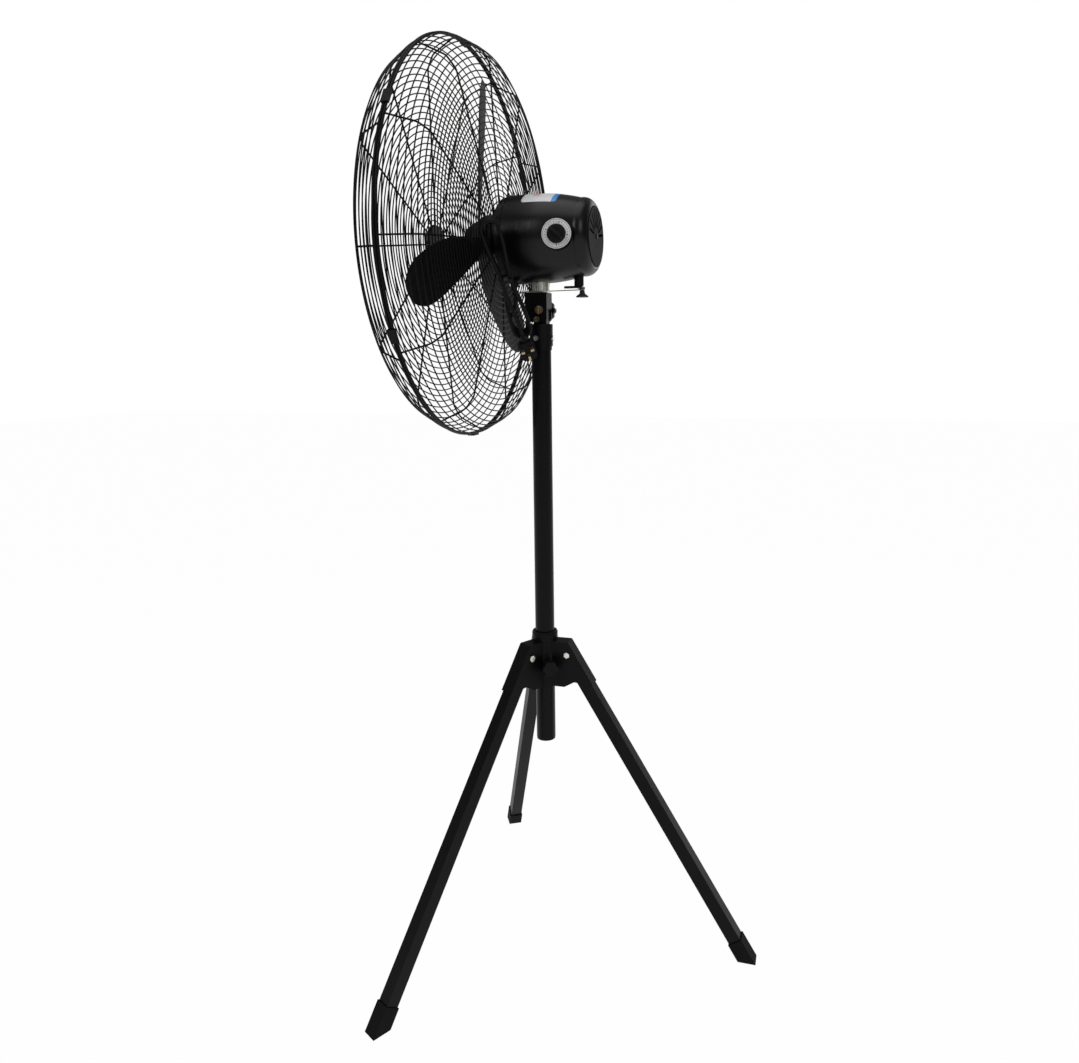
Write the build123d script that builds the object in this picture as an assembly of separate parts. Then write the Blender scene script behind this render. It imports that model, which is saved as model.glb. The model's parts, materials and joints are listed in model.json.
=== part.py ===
from build123d import *
from math import atan2, cos, degrees, hypot, pi, radians, sin, sqrt, tan
import os

# Industrial tripod fan, modelled in millimetres with +Z up and the air blown towards -Y.
# The floor is z = 0. Pieces are first built with the column on the z axis, then moved
# along Y so that the middle of the fan's footprint lies at the origin.

# Clearances
fit_gap = 0.05
run_gap = 0.08
seat_gap = 0.3
flat_gap = 0.4

# Tripod
leg_angle = 31.4
leg_side = 25.0
leg_wall = 1.5
leg_pivot_r = 50.0
leg_pivot_z = 582.0
leg_azimuths = {"left": -30.0, "rear": 90.0, "right": 210.0}
foot_wall = 2.0
foot_length = 54.0
foot_floor = 5.0
bolt_r = 3.0
bolt_head_r = 6.0
bolt_head = 4.0

# Tripod hub
hub_bore_wall = 2.0
hub_wall = 3.0
hub_low = 515.0
hub_top = 607.0
collar_height = 15.0
collar_wall = 1.5
channel_wall = 2.0
channel_reach = 76.0
channel_rise = 22.0
lock_azimuth = 30.0
lock_z = 560.0
lock_screw_r = 4.0
lock_knob_r = 15.0
lock_knob = 16.0

# Column and neck socket
column_r = 19.0
column_wall = 1.5
column_low = 404.0
column_top = 1230.0
column_plug = 12.0
socket_wall = 3.5
socket_low = 1191.0
socket_top = 1233.0
socket_lip = 8.0
socket_screw_z = 1206.0
socket_screw_r = 2.5
tongue_half = 11.5
tongue_back = 12.0

# Tilt bracket
tilt_y = 2.0
tilt_z = 1260.0
tilt_bolt_r = 4.0
tilt_head_r = 8.0
tilt_head = 4.0
tilt_knob_r = 19.5
tilt_knob = 12.0
tilt_knob_gap = 4.0
tilt_up = 15.0
tilt_down = 12.0
slot_screw_r = 2.5
slot_screw_head_r = 6.0
slot_screw_head = 3.0
slot_drop = 18.0
slot_shift = -5.5
bracket_front = -27.0
bracket_back = 17.0
bracket_half = 17.0
bracket_low = 1237.0
bracket_top = 1293.0
bracket_roof = 7.0
bracket_rear_wall = 2.6
bracket_rear_low = 1262.0
bracket_front_round = 14.0
bracket_back_round = 8.0
plate_front = -40.0
plate_back = 17.0
plate_thick = 2.5
plate_half = 17.0

# Head swivel
swivel_r = 8.0
swivel_top = 1329.0
sleeve_r = 17.0
sleeve_flutes = 20
sleeve_low_gap = 0.5
sleeve_top = 1331.0
stud_x = -41.0
stud_y = -7.8
link_width = 10.0
link_thick = 1.6
link_pin_r = 2.5
link_reach = 82.5
link_heading = 263.2
crank_y = 77.0
crank_arm = 32.0
crank_heading = 184.5
crank_tail = 24.0
crank_thick = 4.0
crank_low = 1300.2
crank_width = 11.0
output_boss_r = 9.0
output_boss_low = 1304.5
output_shaft_r = 4.0
output_shaft = 24.0
link_knob_neck_r = 4.5
link_knob_neck = 6.0
link_knob_r = 12.0
link_knob = 13.0

# Head: distances along the fan axis are measured forwards from the guard's rim
head_z = 1395.0
rim_y = -146.0
shell_r = 84.0
shell_wall = 2.0
shell_front = -92.0
shell_lip = 1.2
shell_lip_length = 3.5
shell_straight = -150.0
shell_shoulder = -232.0
shell_shoulder_r = 73.0
shell_rear = -256.0
shell_rear_r = 60.0
end_cap_r = 57.0
end_cap_thick = 3.0
end_slots = 9
end_slot_width = 5.0
cap_r = 81.0
cap_front = -75.0
cap_corner = 7.0
seat_boss_r = 5.0
seat_pitch_r = 52.0
seat_count = 4
seat_screw_r = 2.0
seat_screw_head_r = 4.5
seat_screw_head = 2.5

# Motor inside
stator_rear = -186.0
stator_front = -122.0
stator_r = 61.5
stator_bore = 38.6
stator_teeth = 12
winding_overhang = 12.0
rotor_r = 38.0
shaft_r = 6.0
shaft_rear = -246.0
shaft_front = 6.0
bearing_r = 16.0
bearing_thick = 10.0
front_bearing = -79.5
rear_bearing = -210.0
bearing_cup_wall = 3.0
worm_r = 9.0
worm_front = -222.0
worm_rear = -240.0

# Speed dial
dial_y = 47.0
dial_drop = 3.0
dial_turn = 8.0
dial_r = 27.0
dial_thick = 1.5
dial_face = 87.0
dial_boss_r = 29.0
dial_knob_r = 17.0
dial_knob = 9.0
dial_grip = 8.0
dial_grip_width = 8.0
dial_grip_turn = -38.0
dial_shaft_r = 3.0
switch_side = 26.0
switch_depth = 12.0

# Blades
blade_count = 3
blade_phase = -25.0
blade_mid = -22.0
blade_thick = 2.0
blade_pitch = 22.0
blade_twist = 10.0
blade_sections = [(36.0, 48.0, 2.0), (90.0, 66.0, 10.0), (160.0, 80.0, 15.0), (230.0, 84.0, 17.0),
                  (290.0, 70.0, 18.0), (322.0, 36.0, 20.0)]
blade_hub_r = 40.0
blade_hub_front = -4.0
blade_hub_rear = -46.0
blade_nut_r = 13.0
blade_nut = 14.0

# Guards
rim_r = 376.0
rim_wire_r = 2.4
rim_gap = 0.2
guard_bend = 20.0
rib_count = 12
rib_wire_r = 1.6
ring_wire_r = 1.2
ring_sides = 6
ring_pitch = 11.1
guard_corner_r = 350.0
guard_corner_depth = 54.0
guard_face_r = 326.0
guard_face_depth = 60.0
front_hub_depth = 70.0
rear_hub_depth = 66.0
front_hub_r = 36.0
rear_hub_in_r = 38.0
rear_hub_out_r = 62.0
rear_hub_plate = 2.0
front_hub_plate = 4.0
front_rib_phase = -7.5
rear_rib_phase = -5.0
ring_start = 14.0
ring_stop = 7.0
clip_count = 6
clip_phase = 30.0
clip_length = 26.0
clip_wall = 1.5
medallion_r = 38.0
medallion_thick = 4.0

# Cord
cord_r = 3.5
gland_r = 6.5
gland_low = 1304.0
gland_top = 1322.0
gland_x = 27.0
gland_y = -42.0
hank_turns = 5
hank_top = (138.0, -50.0, 1400.0)
hank_foot = (54.0, -22.0, 1228.0)
hank_half = 16.0
hank_waist = 8.0
hank_pitch = 7.7
hank_tail_gap = 2.4
plug_length = 34.0
plug_width = 30.0
plug_depth = 22.0
plug_neck = 12.0
plug_neck_r = 5.5
tie_width = 6.0
tie_thick = 1.0


def polar(radius, azimuth, height=0.0):
    return Vector(radius * cos(radians(azimuth)), radius * sin(radians(azimuth)), height)


def tube(outer, inner, low, high):
    ring = Pos(0, 0, (low + high) / 2) * Cylinder(outer, high - low)
    return ring - Pos(0, 0, (low + high) / 2) * Cylinder(inner, high - low + 1)


def rod(radius, low, high):
    return Pos(0, 0, (low + high) / 2) * Cylinder(radius, high - low)


def lathe(points):
    outline = Polyline(*[(x, 0, z) for x, z in points], close=True)
    return revolve(make_face(outline), Axis.Z, 360)


def x_rod(radius, low, high, y, z):
    return Pos((low + high) / 2, y, z) * Rot(0, 90, 0) * Cylinder(radius, high - low)


def block(low, high):
    size = [b - a for a, b in zip(low, high)]
    middle = [(a + b) / 2 for a, b in zip(low, high)]
    return Pos(*middle) * Box(*size)


def joined(shapes):
    shapes = list(shapes)
    return shapes[0].fuse(*shapes[1:]) if len(shapes) > 1 else shapes[0]


# Tripod legs, built in the plane of a leg: x runs outwards from the column and y sideways.
leg_out = Vector(sin(radians(leg_angle)), 0, -cos(radians(leg_angle)))
leg_face = Vector(cos(radians(leg_angle)), 0, sin(radians(leg_angle)))
leg_reach = leg_pivot_r + leg_pivot_z * tan(radians(leg_angle))
leg_line = leg_pivot_z / cos(radians(leg_angle))
leg_frame = Plane(origin=(leg_pivot_r, 0, leg_pivot_z), x_dir=tuple(leg_face), z_dir=tuple(leg_out))


def leg_solid(half, head, tail):
    bar = Pos(0, 0, (head + tail) / 2) * Box(2 * half, 2 * half, tail - head)
    return leg_frame * bar


def make_leg():
    half = leg_side / 2
    bar = leg_solid(half, 0, leg_line + 40)
    crown = leg_frame * (Rot(90, 0, 0) * Cylinder(half, leg_side))
    bore = leg_solid(half - leg_wall, -half - 1, leg_line + 60)
    hole = leg_frame * (Rot(90, 0, 0) * Cylinder(bolt_r + run_gap, leg_side + 2))
    floor_cut = block((-500, -500, -500), (900, 500, foot_floor))
    return joined([bar, crown]) - bore - hole - floor_cut


def make_foot():
    inner = leg_side / 2 + fit_gap
    outer = inner + foot_wall
    sleeve = leg_solid(outer, leg_line - foot_length + 10, leg_line + 60)
    pocket = leg_solid(inner, leg_line - foot_length, leg_line + 60)
    floor_cut = block((-500, -500, -500), (900, 500, 0))
    cap_cut = block((-500, -500, foot_floor), (900, 500, 400))
    return sleeve - (pocket & cap_cut) - floor_cut


def make_leg_bolt():
    half = leg_side / 2 + flat_gap + channel_wall
    shank = leg_frame * (Rot(90, 0, 0) * Cylinder(bolt_r, 2 * half))
    head = leg_frame * (Pos(0, -half - bolt_head / 2, 0) * Rot(90, 0, 0) * Cylinder(bolt_head_r, bolt_head))
    nut = leg_frame * (Pos(0, half + bolt_head / 2, 0) * Rot(90, 0, 0) * extrude(RegularPolygon(bolt_head_r, 6),
                                                                                bolt_head / 2, both=True))
    return joined([shank, head, nut])


# Tripod hub
bush_r = column_r + run_gap
hub_in_r = bush_r + hub_bore_wall
hub_out_r = hub_in_r + hub_wall
web_in = leg_side / 2 + flat_gap
web_out = web_in + channel_wall


def face_point(offset, z):
    r = leg_pivot_r + (offset - (z - leg_pivot_z) * leg_face.Z) / leg_face.X
    return (r, z)


def channel_side(offset, low_r):
    top = face_point(offset, hub_top)
    end = Vector(leg_pivot_r, 0, leg_pivot_z) + leg_face * offset + leg_out * channel_reach
    inner_end = end - leg_face * (offset + leg_side / 2 + 4) - leg_out * channel_rise
    hem = Vector(inner_end.X - 20, 0, hub_low + 1)
    return Polyline((low_r, hub_top), top, (end.X, end.Z), (inner_end.X, inner_end.Z), (hem.X, hem.Z),
                    (low_r, hub_low + 1), close=True)


def make_channel():
    half = leg_side / 2 + flat_gap + channel_wall
    plan = Plane.XZ * make_face(channel_side(web_out, 0))
    solid = extrude(plan, half, both=True)
    hollow_face = Plane.XZ * make_face(channel_side(web_in, -5))
    hollow = extrude(hollow_face, half - channel_wall, both=True) - block((-50, -60, hub_top - channel_wall),
                                                                          (200, 60, hub_top + 50))
    below = Pos(0, 0, -20) * hollow
    hole = leg_frame * (Rot(90, 0, 0) * Cylinder(bolt_r + fit_gap, 4 * half))
    return solid - joined([hollow, below]) - hole - rod(hub_out_r, 0, 1000)


def make_hub_tube():
    body = tube(hub_out_r, hub_in_r, hub_low, hub_top)
    collar = tube(hub_out_r + collar_wall, hub_in_r, hub_top, hub_top + collar_height)
    screw_way = Pos(*polar(hub_out_r, lock_azimuth, lock_z)) * Rot(0, 0, lock_azimuth) * Rot(0, 90, 0)
    boss = screw_way * Pos(0, 0, 2) * Cylinder(8, 10)
    hole = screw_way * Cylinder(lock_screw_r + fit_gap, 60)
    core = rod(hub_in_r, hub_low - 1, hub_top + 40)
    return joined([body, collar, boss]) - hole - core


def make_bush():
    body = tube(hub_in_r, bush_r, hub_low, hub_top + collar_height)
    lip = tube(hub_out_r, bush_r, hub_top + collar_height, hub_top + collar_height + 3)
    screw_way = Pos(*polar(hub_out_r, lock_azimuth, lock_z)) * Rot(0, 0, lock_azimuth) * Rot(0, 90, 0)
    return joined([body, lip]) - screw_way * Cylinder(lock_screw_r + fit_gap, 30)


def make_lock_knob():
    start = column_r + seat_gap
    base = hub_out_r + 9
    screw = rod(lock_screw_r, start, base + 2)
    grip = rod(lock_knob_r, base, base + lock_knob)
    lobes = [Pos(*polar(lock_knob_r + 2.5, i * 60, base + lock_knob / 2)) * Cylinder(4.5, lock_knob + 2)
             for i in range(6)]
    knob = joined([screw, grip]) - joined(lobes)
    return Pos(0, 0, lock_z) * Rot(0, 0, lock_azimuth) * Rot(0, 90, 0) * knob


# Column with its neck socket
def make_column():
    return tube(column_r, column_r - column_wall, column_low, column_top)


def make_column_plug():
    inner = column_r - column_wall - fit_gap
    plug = rod(inner, column_low, column_low + column_plug)
    brim = rod(column_r - 0.5, column_low - 3, column_low)
    return joined([plug, brim])


socket_in = column_r + fit_gap
socket_out = socket_in + socket_wall
slot_r = hypot(slot_shift, slot_drop)
slot_angle = degrees(atan2(-slot_drop, slot_shift))


def make_socket():
    body = tube(socket_out, socket_in, socket_low, socket_top)
    lip = tube(socket_out - 2, socket_in, socket_low - socket_lip, socket_low)
    roof = rod(socket_in, column_top, socket_top)
    back = tilt_y + tongue_back
    front = tilt_y - tongue_back
    stem = block((-tongue_half, front, socket_top - 1), (tongue_half, back, tilt_z))
    crown = x_rod(tongue_back, -tongue_half, tongue_half, tilt_y, tilt_z)
    bore = x_rod(tilt_bolt_r + run_gap, -40, 40, tilt_y, tilt_z)
    steps = 6
    sweep = tilt_up + tilt_down + 4
    start = slot_angle - tilt_up - 2
    cuts = []
    for i in range(steps + 1):
        angle = radians(start + sweep * i / steps)
        cuts.append(x_rod(slot_screw_r + seat_gap, -40, 40, tilt_y + slot_r * cos(angle),
                          tilt_z + slot_r * sin(angle)))
    screw_ways = [Pos(0, 0, socket_screw_z) * Rot(0, 0, a) * Rot(0, 90, 0)
                  * Pos(0, 0, socket_out) * Cylinder(socket_screw_r + fit_gap, 12) for a in (-8, 90)]
    return joined([body, lip, roof, stem, crown]) - bore - joined(cuts) - joined(screw_ways)


def make_socket_screws():
    screws = []
    for a in (-8, 90):
        shank = rod(socket_screw_r, column_r + fit_gap, socket_out)
        head = rod(2 * socket_screw_r, socket_out, socket_out + 2.4)
        screws.append(Pos(0, 0, socket_screw_z) * Rot(0, 0, a) * Rot(0, 90, 0) * joined([shank, head]))
    return screws


# Tilt bracket
def make_bracket():
    body = block((-bracket_half, bracket_front, bracket_low), (bracket_half, bracket_back, bracket_top))
    low_edges = body.edges().filter_by(Axis.X).group_by(Axis.Z)[0].sort_by(Axis.Y)
    body = fillet(low_edges[0], bracket_front_round)
    low_edges = body.edges().filter_by(Axis.X).group_by(Axis.Z)[0].sort_by(Axis.Y)
    body = fillet(low_edges[-1], bracket_back_round)
    gap = block((-tongue_half - flat_gap, bracket_front + 4, 0),
                (tongue_half + flat_gap, bracket_back - bracket_rear_wall, bracket_top - bracket_roof))
    low_rear = block((-tongue_half - flat_gap, 0, 0), (tongue_half + flat_gap, bracket_back + 1, bracket_rear_low))
    bolt_way = x_rod(tilt_bolt_r + fit_gap, -40, 40, tilt_y, tilt_z)
    screw_way = x_rod(slot_screw_r + fit_gap, -40, 40, tilt_y + slot_shift, tilt_z - slot_drop)
    low_front = block((-tongue_half - flat_gap, bracket_front - 1, 0),
                      (tongue_half + flat_gap, bracket_front + 5, tilt_z - 8))
    return body - gap - bolt_way - screw_way - low_front - low_rear


def make_tilt_bolt():
    shank = x_rod(tilt_bolt_r, -bracket_half - 8, bracket_half, tilt_y, tilt_z)
    head = x_rod(tilt_head_r, bracket_half, bracket_half + tilt_head, tilt_y, tilt_z)
    slit = block((bracket_half + tilt_head - 1.5, tilt_y - 1, tilt_z - 20),
                 (bracket_half + tilt_head + 1, tilt_y + 1, tilt_z + 20))
    return joined([shank, head]) - slit


def make_slot_screw():
    y = tilt_y + slot_shift
    z = tilt_z - slot_drop
    shank = x_rod(slot_screw_r, -bracket_half, bracket_half, y, z)
    head = x_rod(slot_screw_head_r, bracket_half, bracket_half + slot_screw_head, y, z)
    slit = block((bracket_half + slot_screw_head - 1, y - 0.8, z - 4), (40, y + 0.8, z + 4))
    cross = block((bracket_half + slot_screw_head - 1, y - 4, z - 0.8), (40, y + 4, z + 0.8))
    return joined([shank, head]) - slit - cross


def make_tilt_knob():
    near = bracket_half + tilt_knob_gap
    far = near + tilt_knob
    disc = rod(tilt_knob_r, near, far)
    dents = [Pos(*polar(tilt_knob_r + 3, i * 45 + 22.5, (near + far) / 2)) * Cylinder(5.5, tilt_knob + 2)
             for i in range(8)]
    bore = rod(tilt_bolt_r + run_gap, near - 1, bracket_half + 8 + seat_gap)
    knob = disc - joined(dents) - bore
    return Pos(0, tilt_y, tilt_z) * Rot(0, -90, 0) * knob


plate_low = bracket_top
plate_top = plate_low + plate_thick
link_low = crank_low - flat_gap - link_thick
stud_top = link_low - seat_gap


def make_swivel_plate():
    plate = block((-plate_half, plate_front, plate_low), (plate_half, plate_back, plate_top))
    plate = fillet(plate.edges().filter_by(Axis.Z), 6)
    ear = block((stud_x, stud_y - link_width / 2, plate_low), (8 - plate_half, stud_y + link_width / 2, plate_top))
    eye = Pos(stud_x, stud_y, 0) * rod(link_width / 2, plate_low, plate_top)
    stud = Pos(stud_x, stud_y, 0) * rod(link_pin_r + 1, plate_low, stud_top)
    return joined([plate, ear, eye, stud, rod(swivel_r, plate_low, swivel_top)])


# Oscillating linkage: the crank under the motor carries a pin, and the strip runs from it to the stud
crank_pin = Vector(0, crank_y, 0) + polar(crank_arm, crank_heading)


def make_link():
    bar = Pos(link_reach / 2, 0, 0) * Box(link_reach, link_width, link_thick)
    ends = [Pos(x, 0, 0) * Cylinder(link_width / 2, link_thick) for x in (0, link_reach)]
    holes = [Pos(x, 0, 0) * Cylinder(link_pin_r + run_gap, 3 * link_thick) for x in (0, link_reach)]
    link = joined([bar] + ends) - joined(holes)
    return Pos(crank_pin.X, crank_pin.Y, link_low + link_thick / 2) * Rot(0, 0, link_heading) * link


def make_link_knob():
    high = link_low - seat_gap
    neck_low = high - link_knob_neck
    base = high - link_knob
    outline = [(link_pin_r + run_gap, high), (link_knob_neck_r, high), (link_knob_neck_r + 1, neck_low),
               (link_knob_r, base + 2), (link_knob_r, base), (0, base), (0, base + 2),
               (link_pin_r + run_gap, base + 2)]
    return Pos(crank_pin.X, crank_pin.Y, 0) * lathe(outline)


def crank_lever(heading, reach):
    low = crank_low
    high = crank_low + crank_thick
    bar = block((0, -crank_width / 2, low), (reach, crank_width / 2, high))
    tip = Pos(reach, 0, 0) * rod(crank_width / 2, low, high)
    return Pos(0, crank_y, 0) * Rot(0, 0, heading) * joined([bar, tip])


def make_crank():
    levers = [crank_lever(crank_heading, crank_arm), crank_lever(-90, crank_tail)]
    shaft = Pos(0, crank_y, 0) * rod(output_shaft_r, crank_low, output_boss_low + output_shaft)
    pin_low = link_low - link_knob + 2 + seat_gap
    pin = Pos(crank_pin.X, crank_pin.Y, 0) * rod(link_pin_r, pin_low, crank_low + 1)
    return joined(levers + [shaft, pin])


guard_seat = -(rear_hub_depth + rear_hub_plate / 2)
medallion_base = front_hub_depth + front_hub_plate / 2


# Head: the fan axis frame has x to the side, y upwards and z forwards, with z = 0 at the rim
fan = Pos(0, rim_y, head_z) * Rot(90, 0, 0)


def shell_face(inset):
    front = Vector(shell_r - inset, 0, shell_front)
    straight = Vector(shell_r - inset, 0, shell_straight)
    shoulder = Vector(shell_shoulder_r - inset, 0, shell_shoulder)
    rear = Vector(shell_rear_r - inset, 0, shell_rear + inset)
    side = Line(front, straight)
    taper = TangentArc(straight, shoulder, tangent=(0, 0, -1))
    corner = ThreePointArc(shoulder, shoulder * 0.5 + rear * 0.5 + Vector(3.5, 0, -3.5), rear)
    back = Line(rear, (0, 0, shell_rear + inset))
    spine = Line((0, 0, shell_rear + inset), (0, 0, shell_front))
    lip = Line((0, 0, shell_front), front)
    return make_face(Wire([e for part in (side, taper, corner, back, spine, lip) for e in part.edges()]))


dial_frame = (Pos(0, dial_y, head_z - dial_drop) * Rot(0, 0, dial_turn) * Rot(0, 90, 0))


def make_shell():
    lip = tube(shell_r + shell_lip, shell_r - 1, shell_front - shell_lip_length, shell_front)
    outer = joined([revolve(shell_face(0), Axis.Z, 360), lip])
    boss = dial_frame * rod(dial_boss_r, 40, dial_face)
    boss_hole = dial_frame * joined([rod(dial_shaft_r + 1, 30, 120),
                                     rod(dial_boss_r - shell_wall, 30, dial_face - shell_wall)])
    inner = revolve(shell_face(shell_wall), Axis.Z, 360)
    end_way = rod(end_cap_r + fit_gap - 3, shell_rear - 5, shell_rear + 20)
    cap_seat = rod(end_cap_r + fit_gap, shell_rear - 5, shell_rear + 1.2)
    shell = joined([fan * outer, boss]) - fan * inner - fan * end_way - fan * cap_seat - boss_hole
    sleeve_way = rod(sleeve_r + seat_gap, 1250, 1340)
    boss_way = Pos(0, crank_y, 0) * rod(output_boss_r + seat_gap, 1250, 1335)
    gland_way = Pos(gland_x, gland_y, 0) * rod(gland_r - 1.5 + fit_gap, 1250, 1335)
    return shell - sleeve_way - boss_way - gland_way


def make_front_cap():
    bore = bearing_r + fit_gap
    inside = cap_front - 2.5
    skin = [(bore, cap_front), (cap_r - cap_corner, cap_front), (cap_r, cap_front - cap_corner), (cap_r, shell_front),
            (shell_r - shell_wall - seat_gap, shell_front), (shell_r - shell_wall - seat_gap, shell_front - 4),
            (cap_r - 4, shell_front - 4), (cap_r - 4, inside - cap_corner), (cap_r - cap_corner - 3, inside),
            (bore + bearing_cup_wall, inside), (bore + bearing_cup_wall, inside - 8), (bore, inside - 8)]
    cap = lathe(skin)
    bosses = [Pos(*polar(seat_pitch_r, 45 + i * 360 / seat_count, (inside + guard_seat) / 2))
              * Cylinder(seat_boss_r, guard_seat - inside) for i in range(seat_count)]
    holes = [Pos(*polar(seat_pitch_r, 45 + i * 360 / seat_count, guard_seat)) * Cylinder(seat_screw_r + fit_gap, 16)
             for i in range(seat_count)]
    vents = [Rot(0, 0, i * 30 + 15) * Pos(33, 0, cap_front - 1) * Box(18, 4, 8) for i in range(12)]
    return fan * (joined([cap] + bosses) - joined(holes) - joined(vents))


def make_seat_screws():
    screws = []
    for i in range(seat_count):
        base = guard_seat + rear_hub_plate
        shank = rod(seat_screw_r, guard_seat - 7, base)
        head = rod(seat_screw_head_r, base, base + seat_screw_head)
        screws.append(fan * (Pos(*polar(seat_pitch_r, 45 + i * 360 / seat_count)) * joined([shank, head])))
    return screws


def make_end_cap():
    disc = rod(end_cap_r, shell_rear + 1.2 - end_cap_thick, shell_rear + 1.2)
    disc = chamfer(disc.edges().group_by(Axis.Z)[0], 1)
    slots = [Rot(0, 0, 10 + i * 160 / (end_slots - 1)) * Pos(34, 0, shell_rear) * Box(34, end_slot_width, 12)
             for i in range(end_slots)]
    hole = rod(2 + fit_gap, shell_rear - 10, shell_rear + 10)
    return fan * (disc - joined(slots) - hole)


def make_end_screw():
    back = shell_rear + 1.2 - end_cap_thick
    head = rod(4.5, back - 2.2, back)
    shank = rod(2, back, -247.4)
    return fan * joined([head, shank])


def make_bearing(centre):
    low = centre - bearing_thick / 2
    high = centre + bearing_thick / 2
    return fan * tube(bearing_r, shaft_r + run_gap, low, high)


def make_rear_carrier():
    low = rear_bearing - bearing_thick / 2 - 3
    high = rear_bearing + bearing_thick / 2 + 3
    cup = tube(bearing_r + bearing_cup_wall + fit_gap, bearing_r + fit_gap, low, high)
    reach = 72.0
    arms = [Rot(0, 0, a) * Pos((reach + bearing_r + 1) / 2, 0, rear_bearing) * Box(reach - bearing_r - 1, 10, 6)
            for a in (30, 150, 270 - 55, 270 + 55)]
    return fan * (joined([cup] + arms) - rod(bearing_r + fit_gap, low - 1, high + 1))


def make_gearbox():
    top = head_z - bearing_r - bearing_cup_wall - 2
    box = block((-22, crank_y - 9, 1331), (22, crank_y + 14, top))
    boss = Pos(0, crank_y, 0) * rod(output_boss_r, output_boss_low, 1340)
    way = Pos(0, crank_y, 0) * rod(output_shaft_r + run_gap, output_boss_low - 1, output_boss_low + output_shaft + 1)
    return joined([box, boss]) - way


def make_stator():
    ring = tube(stator_r, stator_bore, stator_rear, stator_front)
    slots = [Rot(0, 0, i * 360 / stator_teeth) * Pos(stator_bore + 5, 0, (stator_rear + stator_front) / 2)
             * Box(12, 5, 200) for i in range(stator_teeth)]
    return fan * (ring - joined(slots))


def make_windings():
    rear = tube(stator_r - 6, stator_bore + 4, stator_rear - winding_overhang, stator_rear)
    front = tube(stator_r - 6, stator_bore + 4, stator_front, stator_front + winding_overhang)
    return [fan * rear, fan * front]


def make_stator_posts():
    posts = []
    for a in (45, 135, 225, 315):
        bar = Rot(0, 0, a) * Pos(71.6, 0, (stator_rear + shell_front - 10) / 2) * Box(
            20, 8, shell_front - 10 - stator_rear)
        posts.append(fan * (bar - rod(stator_r, -300, 0)))
    skin = fan * revolve(shell_face(shell_wall + fit_gap), Axis.Z, 360)
    return [post & skin for post in posts]


def make_capacitor():
    return block((-72, 46, head_z - 22), (-64, 70, head_z + 20))


def make_rotor_core():
    core = rod(rotor_r, stator_rear, stator_front) - rod(shaft_r, -400, 100)
    return fan * core


def make_shaft():
    shaft = rod(shaft_r, shaft_rear, shaft_front)
    worm = tube(worm_r, shaft_r - 0.5, worm_rear, worm_front)
    grooves = [Pos(0, 0, worm_rear + 3 + 4 * i) * Torus(worm_r + 0.4, 1.1) for i in range(4)]
    return fan * (joined([shaft, worm]) - joined(grooves))


def make_blade(index):
    rails = []
    for radius, chord, lean in blade_sections:
        turn = blade_pitch - blade_twist * (radius - blade_sections[0][0]) / 290
        half = chord / 2
        belly = chord * 0.07
        skin = blade_thick / 2
        upper = ThreePointArc((lean - half, 0), (lean, belly + skin), (lean + half, 0))
        lower = ThreePointArc((lean + half, 0), (lean, belly - skin), (lean - half, 0))
        section = make_face(Wire([upper.edge(), lower.edge()]))
        place = Plane(origin=(radius, 0, blade_mid), x_dir=(0, cos(radians(turn)), sin(radians(turn))),
                      z_dir=(1, 0, 0))
        rails.append(place * section)
    blade = loft(rails, ruled=False)
    return Rot(0, 0, blade_phase + index * 360 / blade_count) * blade


def make_blade_hub():
    core = lathe([(0, blade_hub_rear), (blade_hub_r, blade_hub_rear), (blade_hub_r, blade_mid),
                  (blade_hub_r - 9, blade_hub_front), (0, blade_hub_front)])
    return core - rod(shaft_r + fit_gap, -100, 100)


def make_blades():
    hub = make_blade_hub()
    bore = rod(shaft_r + fit_gap, -100, 100)
    return fan * (joined([hub] + [make_blade(i) for i in range(blade_count)]) - bore)


def make_blade_nut():
    nut = rod(blade_nut_r, blade_hub_front, blade_hub_front + blade_nut)
    nut = chamfer(nut.edges().group_by(Axis.Z)[-1], 3)
    flats = [Rot(0, 0, i * 60) * Pos(blade_nut_r + 1.5, 0, blade_hub_front + 7) * Cylinder(3.5, 30) for i in range(6)]
    return fan * (nut - joined(flats) - rod(shaft_r + fit_gap, -50, shaft_front + seat_gap))


# Guards: the ribs follow one bent line and the rings lie on its outer side
def rib_line(hub_r, hub_depth):
    points = [(hub_r, hub_depth), (guard_face_r, guard_face_depth), (guard_corner_r, guard_corner_depth - 6),
              (rim_r, rim_wire_r + rim_gap)]
    return FilletPolyline(*[(r, 0, d) for r, d in points], radius=guard_bend)


def make_guard_frame(hub_r, hub_depth, phase, plate, cuts):
    path = rib_line(hub_r, hub_depth)
    start = path @ 0
    rib = sweep(Plane(origin=start, z_dir=path % 0) * Circle(rib_wire_r), path=path)
    ribs = [Rot(0, 0, phase + i * 360 / rib_count) * rib for i in range(rib_count)]
    rim = Pos(0, 0, rim_wire_r + rim_gap) * Torus(rim_r, rim_wire_r)
    return joined([rim, plate] + ribs) - joined(cuts)


def make_rear_guard():
    half = rear_hub_plate / 2
    plate = rod(rear_hub_out_r, rear_hub_depth - half, rear_hub_depth + half)
    cuts = [rod(rear_hub_in_r, rear_hub_depth - 10, rear_hub_depth + 10)]
    for i in range(seat_count):
        cuts.append(Pos(*polar(seat_pitch_r, 45 + i * 360 / seat_count, rear_hub_depth))
                    * Cylinder(seat_screw_r + fit_gap, 10))
    return fan * (Rot(180, 0, 0) * make_guard_frame(rear_hub_out_r - 2, rear_hub_depth, -rear_rib_phase, plate, cuts))


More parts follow.
